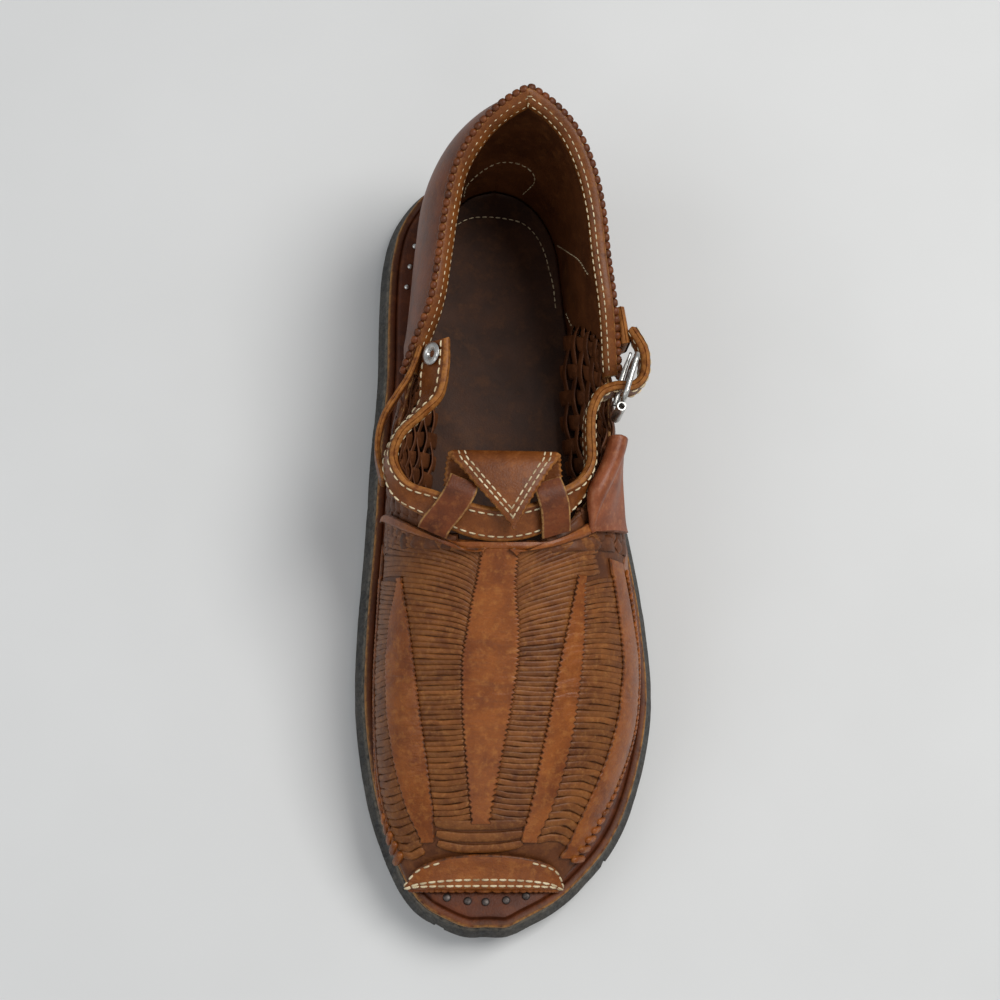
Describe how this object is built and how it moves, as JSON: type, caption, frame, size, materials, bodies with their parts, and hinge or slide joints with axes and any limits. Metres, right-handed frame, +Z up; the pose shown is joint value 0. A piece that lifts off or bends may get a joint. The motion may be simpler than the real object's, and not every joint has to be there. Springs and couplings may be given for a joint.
{
  "type": "huarache shoe",
  "caption": "Left huarache shoe: closed woven leather vamp, open throat with a buckled collar band and folded flap, tall pointed heel counter, nailed leather midsole on a tyre-rubber sole.",
  "frame": {"origin": "centre of the shoe's bounding box, on the floor under the sole", "axes": "+Z up, +Y towards the heel, +X towards the lateral side with the buckle"},
  "size_m": [0.1078, 0.285, 0.1044],
  "materials": {
    "rubber": "worn matte",
    "sole_leather": "polished",
    "insole_leather": "worn satin",
    "woven_leather": "satin",
    "saddle_leather": "satin",
    "tooled_leather": "satin",
    "brown_leather": "satin",
    "bright_metal": "polished",
    "dark_metal": "dull"
  },
  "bodies": {
    "root": {"outsole": "rubber", "midsole": "sole_leather", "insole": "insole_leather", "upper": "woven_leather", "heel_counter": "saddle_leather", "toe_patch": "saddle_leather", "collar_band": "saddle_leather", "tongue_flap": "tooled_leather", "keeper_strap_medial": "brown_leather", "keeper_strap_lateral": "brown_leather", "side_strap_medial": "brown_leather", "side_strap_lateral": "brown_leather", "eyelet": "bright_metal", "buckle_frame": "bright_metal", "buckle_prong": "bright_metal", "buckle_roller": "bright_metal", "buckle_anchor": "saddle_leather", "toe_nail_1": "dark_metal", "toe_nail_2": "dark_metal", "toe_nail_3": "dark_metal", "toe_nail_4": "dark_metal", "toe_nail_5": "dark_metal", "heel_nail_1": "bright_metal", "heel_nail_2": "bright_metal", "heel_nail_3": "bright_metal", "heel_nail_4": "bright_metal", "heel_nail_5": "bright_metal"}
  },
  "joints": []
}
